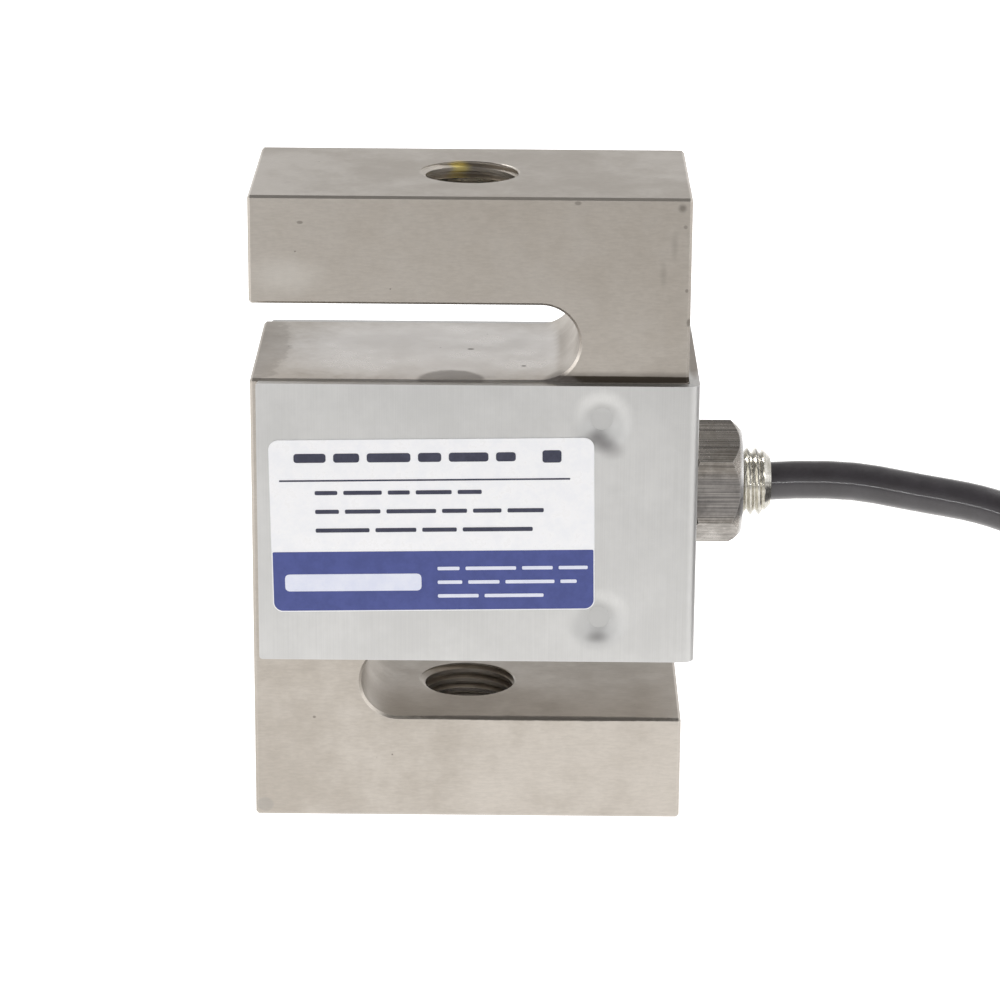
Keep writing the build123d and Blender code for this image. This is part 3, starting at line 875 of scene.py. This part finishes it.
@dataclass
class SpringBody:
    """The one-piece S, with load threads cut in both arms."""

    pitch: float = 1.25
    minor: float = 5.3
    major: float = 6.1
    arm: float = 12.7
    overrun: float = 2.4
    weld_gap: float = 0.002
    flat_angle: float = 1e-4

    def build(self) -> bpy.types.Object:
        """Cuts the threads into a copy of the body and dresses it.

        Returns:
            The body that stands for the CAD node.
        """
        source = frame["nodes"]["spring_element"]
        body = source.copy()
        body.data = source.data.copy()
        body.name = "spring_body"
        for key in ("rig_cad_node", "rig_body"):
            del body[key]
        body.parent = None
        bpy.context.scene.collection.objects.link(body)
        self.weld(body)
        low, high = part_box("spring_element")
        top = high.z / MM
        thread = Thread(self.pitch, self.minor, self.major)
        for name, base in (("upper", top - self.arm), ("lower", 0.0)):
            tool = thread.tap(f"{name}_tap", base - self.overrun, base + self.arm + self.overrun)
            self.cut(body, tool)
        smooth(body)
        body.modifiers.new("large faces first", "WEIGHTED_NORMAL").keep_sharp = True
        Finishes.BODY.value.dress(body)
        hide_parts("spring_element")
        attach(body, BODY)
        log.info("spring body: %d faces", len(body.data.polygons))
        return body

    def weld(self, body: bpy.types.Object) -> None:
        """Joins the vertices that the imported mesh has twice, and drops the shading that it came with."""
        work = bmesh.new()
        work.from_mesh(body.data)
        bmesh.ops.remove_doubles(work, verts=work.verts, dist=self.weld_gap * MM)
        shared = [edge for edge in work.edges if len(edge.link_faces) == 2]
        flat = [edge for edge in shared if edge.calc_face_angle() < self.flat_angle]
        bmesh.ops.dissolve_edges(work, edges=flat, use_verts=False)
        points = [vertex.co.copy() for vertex in work.verts]
        work.verts.index_update()
        faces = [tuple(vertex.index for vertex in face.verts) for face in work.faces]
        work.free()
        plain = bpy.data.meshes.new(body.name)
        plain.from_pydata(points, [], faces)
        body.data = plain

    def cut(self, body: bpy.types.Object, tool: bpy.types.Object) -> None:
        """Cuts a tool's shape out of the body and removes the tool.

        Args:
            body: The piece that is cut.
            tool: The closed solid that cuts it.
        """
        cutter = body.modifiers.new("thread", "BOOLEAN")
        cutter.operation = "DIFFERENCE"
        cutter.solver = "EXACT"
        cutter.object = tool
        graph = bpy.context.evaluated_depsgraph_get()
        cut = bpy.data.meshes.new_from_object(body.evaluated_get(graph))
        body.modifiers.clear()
        body.data = cut
        bpy.data.objects.remove(tool)


@dataclass
class GlandSleeve:
    """The hollow sleeve that the cable comes out of, with its fine thread."""

    pitch: float = 1.0
    depth: float = 0.55
    chamfer: float = 1.1
    bore: float = 2.5
    around: int = 96
    step: float = 0.05
    root_share: float = 0.12
    flank_share: float = 0.68
    hidden_turns: float = 1.0

    def radius(self, x: float, angle: float, end: float, outer: float) -> float:
        """Gives the thread's radius at a place on the sleeve.

        Args:
            x: The place along the axis.
            angle: The angle round it, in radians.
            end: Where the sleeve ends.
            outer: Its outer radius.

        Returns:
            The radius in millimetres.
        """
        turn = ((x - end) / self.pitch - angle / (2 * math.pi)) % 1.0
        from_groove = abs(turn - 0.5) * 2
        flank = min(1.0, max(0.0, (from_groove - self.root_share) / self.flank_share))
        groove = outer - self.depth * (1 - flank)
        cone = outer - self.chamfer + (end - x)
        return min(groove, cone)

    def build(self) -> bpy.types.Object:
        """Makes the sleeve as one closed skin, finer where the thread shows.

        Returns:
            The sleeve that stands for the CAD node.
        """
        low, high = (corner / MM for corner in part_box("gland_sleeve"))
        outer = (high.z - low.z) / 2
        axis = (high.z + low.z) / 2
        fine_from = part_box("gland_nut")[1].x / MM - self.hidden_turns * self.pitch
        places = [low.x, fine_from]
        while places[-1] < high.x - self.step:
            places.append(places[-1] + self.step)
        places.append(high.x)
        angles = [2 * math.pi * i / self.around for i in range(self.around)]
        rings = [[(x, self.radius(x, angle, high.x, outer)) for angle in angles] for x in places]
        rings.append([(high.x, self.bore)] * self.around)
        rings.append([(low.x, self.bore)] * self.around)
        points = []
        for ring in rings:
            for angle, (x, radius) in zip(angles, ring):
                points.append(mm(x, radius * math.cos(angle), axis + radius * math.sin(angle)))
        faces = []
        for r in range(len(rings)):
            here = r * self.around
            after = (r + 1) % len(rings) * self.around
            for i in range(self.around):
                j = (i + 1) % self.around
                faces.append((here + i, after + i, after + j, here + j))
        sleeve = new_piece("threaded_sleeve", points, faces)
        smooth(sleeve, sharp_deg=35.0)
        Finishes.SLEEVE.value.dress(sleeve)
        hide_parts("gland_sleeve")
        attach(sleeve, BODY)
        log.info("threaded sleeve: %d faces", len(faces))
        return sleeve


@dataclass
class LabelPrint:
    """The printing on the film: a field of colour, a rule and plain dashes, in the film's own millimetres."""

    centre: tuple[float, float] = (-4.2, 37.25)
    tilt_deg: float = 1.0
    width: float = 37.8
    height: float = 21.1
    corner: float = 1.2
    margin: float = 0.13
    field_top: float = -3.13
    ink: float = 0.02
    lift: float = 0.004
    dash_range: tuple[float, float] = (2.4, 6.5)
    dash_least: float = 1.5
    rule: tuple = (-17.75, 5.5, 16.1, 5.7)
    rule_corner: float = 0.04
    heading: tuple = (-16.0, 9.8, 8.35, 1.1)
    dark_block: tuple = (12.9, 7.6, 15.1, 9.1)
    dark_block_corner: float = 0.3
    dark_left: float = -13.65
    dark_rows: tuple = ((5.8, 4.1), (13.0, 1.8), (11.7, -0.5))
    dark_tall: float = 0.5
    pale_block: tuple = (-17.4, -8.0, -1.4, -5.9)
    pale_block_corner: float = 0.5
    pale_left: float = 0.5
    pale_rows: tuple = ((18.1, -5.3), (16.8, -7.0), (12.9, -8.7))
    pale_tall: float = 0.42
    field_top_corner: float = 0.15
    seed: int = 7
    rng: random.Random = field(init=False)

    def __post_init__(self) -> None:
        """Starts the seeded choice of dash lengths."""
        self.rng = random.Random(self.seed)

    def at(self, u: float, v: float, depth: float) -> Vector:
        """Gives a point of the print.

        Args:
            u: Place along the film from its middle.
            v: Place up it from its middle.
            depth: How far in front of the film it is.

        Returns:
            The point in metres, in the shared frame.
        """
        turn = math.radians(self.tilt_deg)
        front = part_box("rating_label")[0].y / MM
        x = self.centre[0] + u * math.cos(turn) - v * math.sin(turn)
        z = self.centre[1] + u * math.sin(turn) + v * math.cos(turn)
        return mm(x, front - depth, z)

    def prism(self, outline: list[tuple[float, float]], points: list, faces: list, layer: int = 0) -> None:
        """Adds one thin inked shape to lists of points and faces.

        Args:
            outline: The shape's corners, anticlockwise from the front.
            points: The list of points to add to.
            faces: The list of faces to add to.
            layer: How many inks lie under this one.
        """
        start = len(points)
        count = len(outline)
        base = self.lift + layer * self.ink
        for depth in (base, base + self.ink):
            points.extend(self.at(u, v, depth) for u, v in outline)
        faces.append(tuple(start + i for i in reversed(range(count))))
        faces.append(tuple(start + count + i for i in range(count)))
        for i in range(count):
            j = (i + 1) % count
            faces.append((start + i, start + j, start + count + j, start + count + i))

    def rounded(self, left: float, low: float, right: float, high: float, radii: tuple) -> list:
        """Gives a rectangle's outline with rounded corners.

        Args:
            left: Its left side.
            low: Its lower side.
            right: Its right side.
            high: Its upper side.
            radii: The radius of each corner, from the lower left, anticlockwise.

        Returns:
            The outline's points, anticlockwise.
        """
        centres = [(left, low, 180), (right, low, 270), (right, high, 0), (left, high, 90)]
        outline = []
        for (x, y, start), radius in zip(centres, radii):
            cx = x + radius if x == left else x - radius
            cy = y + radius if y == low else y - radius
            steps = 10 if radius > self.pale_block_corner else 3
            for i in range(steps + 1):
                angle = math.radians(start + 90 * i / steps)
                outline.append((cx + radius * math.cos(angle), cy + radius * math.sin(angle)))
        return outline

    def row(self, spot: tuple[float, float, float, float], points: list, faces: list, layer: int = 0) -> None:
        """Adds a row of plain dashes, where the real film has a line of print.

        Args:
            spot: Where the row starts and ends, the height of its middle and how tall its dashes are.
            points: The list of points to add to.
            faces: The list of faces to add to.
            layer: How many inks lie under it.
        """
        u, right, middle, tall = spot
        gap = max(0.7, 0.8 * tall)
        while u < right - tall:
            end = min(right, u + self.rng.uniform(*self.dash_range))
            if right - end < self.dash_least + gap:
                end = right
            dash = self.rounded(u, middle - tall / 2, end, middle + tall / 2, (0.3 * tall,) * 4)
            self.prism(dash, points, faces, layer)
            u = end + gap

    def finish_piece(self, name: str, points: list, faces: list, finish: Finishes) -> bpy.types.Object:
        """Makes one ink's piece, dresses it and lets it ride.

        Args:
            name: The piece's name.
            points: Its points.
            faces: Its faces.
            finish: Its ink.

        Returns:
            The piece.
        """
        piece = new_piece(name, points, faces)
        finish.value.dress(piece)
        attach(piece, BODY)
        log.info("%s: %d faces", name, len(faces))
        return piece

    def build(self) -> None:
        """Makes the field, the dark print and the pale print."""
        half_u = self.width / 2 - self.margin
        low = -self.height / 2 + self.margin
        round_corner = self.corner - self.margin
        corners = (round_corner, round_corner, self.field_top_corner, self.field_top_corner)
        points: list = []
        faces: list = []
        self.prism(self.rounded(-half_u, low, half_u, self.field_top, corners), points, faces)
        self.finish_piece("label_field", points, faces, Finishes.FIELD_INK)
        points, faces = [], []
        self.prism(self.rounded(*self.rule, (self.rule_corner,) * 4), points, faces)
        self.row(self.heading, points, faces)
        self.prism(self.rounded(*self.dark_block, (self.dark_block_corner,) * 4), points, faces)
        for end, middle in self.dark_rows:
            self.row((self.dark_left, end, middle, self.dark_tall), points, faces)
        self.finish_piece("label_dark_print", points, faces, Finishes.DARK_INK)
        points, faces = [], []
        self.prism(self.rounded(*self.pale_block, (self.pale_block_corner,) * 4), points, faces, layer=1)
        for end, middle in self.pale_rows:
            self.row((self.pale_left, end, middle, self.pale_tall), points, faces, layer=1)
        self.finish_piece("label_pale_print", points, faces, Finishes.PALE_INK)


@dataclass
class Cable:
    """The cable: its visible lead, the put-away coil and the tail, as one smooth line."""

    diameter: float = 4.6
    length: float = 3.15
    lead: tuple = (
        (35.0, 0.0, 38.5),
        (43.8, -1.4, 39.6),
        (53.5, -3.4, 38.3),
        (60.9, -5.5, 37.7),
        (66.5, -7.5, 36.1),
        (72.6, -10.0, 35.5),
        (79.4, -11.7, 35.5),
        (86.9, -11.7, 35.5),
    )
    coil_centre: tuple[float, float] = (104.5, 16.8)
    columns: tuple[float, float, float] = (28.5, 23.95, 19.4)
    layers: tuple[float, ...] = (35.6, 31.0, 26.4, 21.8, 17.2, 12.6, 8.0, 3.4)
    points_per_turn: int = 24
    steps_along: int = 4
    steps_around: int = 8
    layer_deg: float = 900.0
    column_steps: tuple[float, float] = (180.0, 540.0)
    step_deg: float = 180.0
    tail: tuple = (
        (122.1, -11.7, 3.5),
        (129.6, -11.7, 3.5),
        (139.2, -8.9, 3.0),
        (148.7, -1.6, 2.6),
        (154.1, 9.7, 2.75),
        (154.1, 22.2, 2.75),
    )
    with_pieces: tuple[str, ...] = (
        "near_strap",
        "far_strap",
        "shrink_sleeve",
        "shield_drain",
        "core_red",
        "core_black",
        "core_green",
        "core_white",
        "core_red_tip",
        "core_black_tip",
        "core_green_tip",
        "core_white_tip",
    )

    def ease(self, value: float, start: float) -> float:
        """Rises smoothly from 0 to 1 over one step's sector that starts at an angle."""
        share = min(1.0, max(0.0, (value - start) / self.step_deg))
        return share * share * (3 - 2 * share)

    def radius(self, turned: float) -> float:
        """Gives the winding's radius after a number of degrees."""
        layer = min(int(turned // self.layer_deg), len(self.layers) - 1)
        within = turned - layer * self.layer_deg
        order = self.columns if layer % 2 == 0 else self.columns[::-1]
        first, second = (self.ease(within, start) for start in self.column_steps)
        return order[0] + (order[1] - order[0]) * first + (order[2] - order[1]) * second

    def height(self, turned: float) -> float:
        """Gives the winding's height after a number of degrees."""
        level = self.layers[0]
        for k in range(len(self.layers) - 1):
            start = self.layer_deg * (k + 1) - self.step_deg / 2
            level += (self.layers[k + 1] - self.layers[k]) * self.ease(turned, start)
        return level

    def coil(self) -> list[tuple[float, float, float]]:
        """Gives the coil's control points, turn by turn."""
        total = self.layer_deg * len(self.layers)
        step = 360 / self.points_per_turn
        outward = 1 / math.cos(math.radians(step / 2))
        found = []
        for i in range(int(total / step) + 1):
            turned = i * step
            angle = math.radians(turned - 90)
            radius = self.radius(turned) * outward
            x = self.coil_centre[0] + radius * math.cos(angle)
            y = self.coil_centre[1] + radius * math.sin(angle)
            found.append((x, y, self.height(turned)))
        return found

    def build(self) -> bpy.types.Object:
        """Returns:
            The cable that stands for its three CAD nodes.
        """
        route = [*self.lead, *self.coil(), *self.tail]
        curve = bpy.data.curves.new("cable", "CURVE")
        curve.dimensions = "3D"
        spline = curve.splines.new("NURBS")
        spline.points.add(len(route) - 1)
        for point, place in zip(spline.points, route):
            point.co = (*mm(*place), 1.0)
        spline.order_u = 3
        spline.use_endpoint_u = True
        spline.resolution_u = self.steps_along
        curve.bevel_depth = self.diameter / 2 * MM
        curve.bevel_resolution = self.steps_around
        curve.use_fill_caps = True
        cable = bpy.data.objects.new("cable", curve)
        bpy.context.scene.collection.objects.link(cable)
        Finishes.JACKET.value.dress(cable)
        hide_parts("cable_lead", "cable_coil", "cable_tail")
        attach(cable, BODY)
        log.info("cable: %d control points", len(route))
        return cable


@dataclass
class Fittings:
    """The pieces whose CAD shape is right as it is, with the finish of each."""

    finishes: dict[str, Finishes] = field(
        default_factory=lambda: {
            "side_cover": Finishes.COVER,
            "rating_label": Finishes.FILM,
            "gland_nut": Finishes.NUT,
            "cable_seal": Finishes.COMPOUND,
            "front_gauge": Finishes.GAUGE,
            "rear_gauge": Finishes.GAUGE,
            "front_terminal": Finishes.TERMINAL,
            "rear_terminal": Finishes.TERMINAL,
            "front_potting": Finishes.COMPOUND,
            "rear_potting": Finishes.COMPOUND,
            "trim_board": Finishes.BOARD,
            "zero_resistor": Finishes.RESISTOR,
            "span_resistor": Finishes.RESISTOR,
            "balance_resistor": Finishes.RESISTOR,
            "near_strap": Finishes.STRAP,
            "far_strap": Finishes.STRAP,
            "shrink_sleeve": Finishes.SHRINK,
            "shield_drain": Finishes.TINNED,
        }
    )
    cores: dict[str, Finishes] = field(
        default_factory=lambda: {
            "red": Finishes.CORE_RED,
            "black": Finishes.CORE_BLACK,
            "green": Finishes.CORE_GREEN,
            "white": Finishes.CORE_WHITE,
        }
    )

    def build(self) -> None:
        """Dresses each carried-over node."""
        for colour, finish in self.cores.items():
            self.finishes[f"inner_core_{colour}"] = finish
            self.finishes[f"core_{colour}"] = finish
            self.finishes[f"core_{colour}_tip"] = Finishes.TINNED
        for node, finish in self.finishes.items():
            finish.value.dress(frame["nodes"][node])
            log.info("%s: %s", node, finish.value.name)


@dataclass(frozen=True)
class Softbox:
    """A rectangular soft light that looks at the part: its place and sides in metres, its power in watts."""

    name: str
    place: tuple[float, float, float]
    width: float
    height: float
    power: float

    def light(self, aim: Vector) -> None:
        """Adds the light, turned towards a point.

        Args:
            aim: The point, in metres.
        """
        lamp = bpy.data.lights.new(self.name, "AREA")
        lamp.shape = "RECTANGLE"
        lamp.size = self.width
        lamp.size_y = self.height
        lamp.energy = self.power
        holder = bpy.data.objects.new(self.name, lamp)
        holder.location = self.place
        holder.rotation_euler = (aim - Vector(self.place)).to_track_quat("-Z", "Y").to_euler()
        holder.visible_camera = False
        bpy.context.scene.collection.objects.link(holder)
        log.info("%s: %.1f W", self.name, self.power)


@dataclass
class Studio:
    """The pale floor, the soft light and the camera at the photograph's angle."""

    camera_mm: tuple[float, float, float] = (5.3, -414.0, 171.6)
    yaw_deg: float = -0.235
    pitch_deg: float = 18.156
    roll_deg: float = 0.41
    lens: float = 130.14
    sensor: float = 36.0
    floor_half: float = 4.0
    floor_paint: tuple = (0.9, 0.9, 0.9, 1.0)
    floor_lift: float = 0.72
    glow_tone: tuple = (1.0, 0.985, 0.965, 1.0)
    glow_depths: tuple[float, float] = (-330.0, -20.0)
    near_glow: float = 1.15
    far_glow: float = 0.50
    zenith: float = 0.32
    horizon: float = 0.95
    behind_share: float = 0.55
    sky_tone: tuple = (1.0, 0.99, 0.98, 1.0)
    aim: tuple[float, float, float] = (0.0, 0.0, 0.04)
    softboxes: tuple[Softbox, ...] = (
        Softbox("left_box", (-0.75, -0.35, 0.42), 0.8, 0.8, 3.4),
        Softbox("right_box", (0.75, -0.30, 0.42), 0.8, 0.8, 3.4),
        Softbox("left_glint", (-0.50, 0.45, 0.75), 0.25, 0.25, 2.0),
        Softbox("right_glint", (0.50, 0.45, 0.75), 0.25, 0.25, 2.0),
        Softbox("low_strip", (-0.36, -0.75, 0.10), 0.6, 0.02, 0.6),
    )

    def camera(self) -> None:
        """Sets the camera where the photograph was taken from."""
        yaw, pitch, roll = (math.radians(v) for v in (self.yaw_deg, self.pitch_deg, self.roll_deg))
        ahead = Vector((math.sin(yaw) * math.cos(pitch), math.cos(yaw) * math.cos(pitch), -math.sin(pitch)))
        right = ahead.cross(Vector((0, 0, 1))).normalized()
        up = right.cross(ahead)
        side = right * math.cos(roll) + up * math.sin(roll)
        above = up * math.cos(roll) - right * math.sin(roll)
        lens = bpy.data.cameras.new("camera")
        lens.lens = self.lens
        lens.sensor_width = self.sensor
        lens.clip_start = 0.01
        holder = bpy.data.objects.new("camera", lens)
        turned = Matrix((side, above, -ahead)).transposed().to_4x4()
        holder.matrix_world = Matrix.Translation(mm(*self.camera_mm)) @ turned
        bpy.context.scene.collection.objects.link(holder)
        bpy.context.scene.camera = holder

    def floor(self) -> None:
        """Lays the pale floor, which glows less the further it lies in front of the part."""
        half = self.floor_half / MM
        corners = [mm(-half, -half, 0), mm(half, -half, 0), mm(half, half, 0), mm(-half, half, 0)]
        floor = new_piece("floor", corners, [(0, 1, 2, 3)])
        material = bpy.data.materials.new("pale_floor")
        material.use_nodes = True
        material.node_tree.nodes.clear()
        graph = Graph(material.node_tree)
        depth = graph.node("ShaderNodeSeparateXYZ", {0: graph.place_mm()}).outputs[1]
        glow = graph.ramp(depth, *self.glow_depths, start=self.far_glow, end=self.near_glow)
        cast = graph.node("ShaderNodeEmission", {"Color": self.glow_tone, "Strength": glow}).outputs[0]
        paint = graph.node("ShaderNodeBsdfDiffuse", {"Color": self.floor_paint}).outputs[0]
        lift = graph.node("ShaderNodeEmission", {"Color": WHITE, "Strength": self.floor_lift}).outputs[0]
        seen = graph.node("ShaderNodeAddShader", {0: paint, 1: lift}).outputs[0]
        direct = graph.node("ShaderNodeLightPath").outputs["Is Camera Ray"]
        both = graph.node("ShaderNodeMixShader", {0: direct, 1: cast, 2: seen}).outputs[0]
        graph.node("ShaderNodeOutputMaterial", {"Surface": both})
        floor.data.materials.append(material)

    def sky(self) -> None:
        """Sets the soft surround: bright at the horizon behind, darker overhead and behind the camera."""
        world = bpy.data.worlds.new("surround")
        world.use_nodes = True
        bpy.context.scene.world = world
        world.node_tree.nodes.clear()
        graph = Graph(world.node_tree)
        direction = graph.node("ShaderNodeTexCoord").outputs["Generated"]
        parts = graph.node("ShaderNodeSeparateXYZ", {0: direction})
        level = graph.ramp(parts.outputs[2], low=0.05, high=0.75, start=self.horizon, end=self.zenith)
        facing = graph.ramp(parts.outputs[1], low=-0.6, high=0.5, start=self.behind_share, end=1.0)
        strength = graph.math("MULTIPLY", level, facing)
        light = graph.node("ShaderNodeBackground", {"Color": self.sky_tone, "Strength": strength}).outputs[0]
        plain = graph.node("ShaderNodeBackground", {"Color": WHITE, "Strength": 1.0}).outputs[0]
        direct = graph.node("ShaderNodeLightPath").outputs["Is Camera Ray"]
        both = graph.node("ShaderNodeMixShader", {0: direct, 1: light, 2: plain}).outputs[0]
        graph.node("ShaderNodeOutputWorld", {"Surface": both})

    def build(self) -> None:
        """Sets camera, floor, surround and lights."""
        self.camera()
        self.floor()
        self.sky()
        for softbox in self.softboxes:
            softbox.light(Vector(self.aim))
        bpy.context.scene.view_settings.view_transform = "Standard"
        log.info("studio: camera, floor and lights")


def main() -> None:
    """Builds the studio and each sub-assembly in order."""
    logging.basicConfig(level=logging.INFO, format="%(name)s: %(message)s")
    for part in (Studio(), Cable(), SpringBody(), GlandSleeve(), LabelPrint(), Fittings()):
        part.build()


if __name__ == "__main__":
    main()
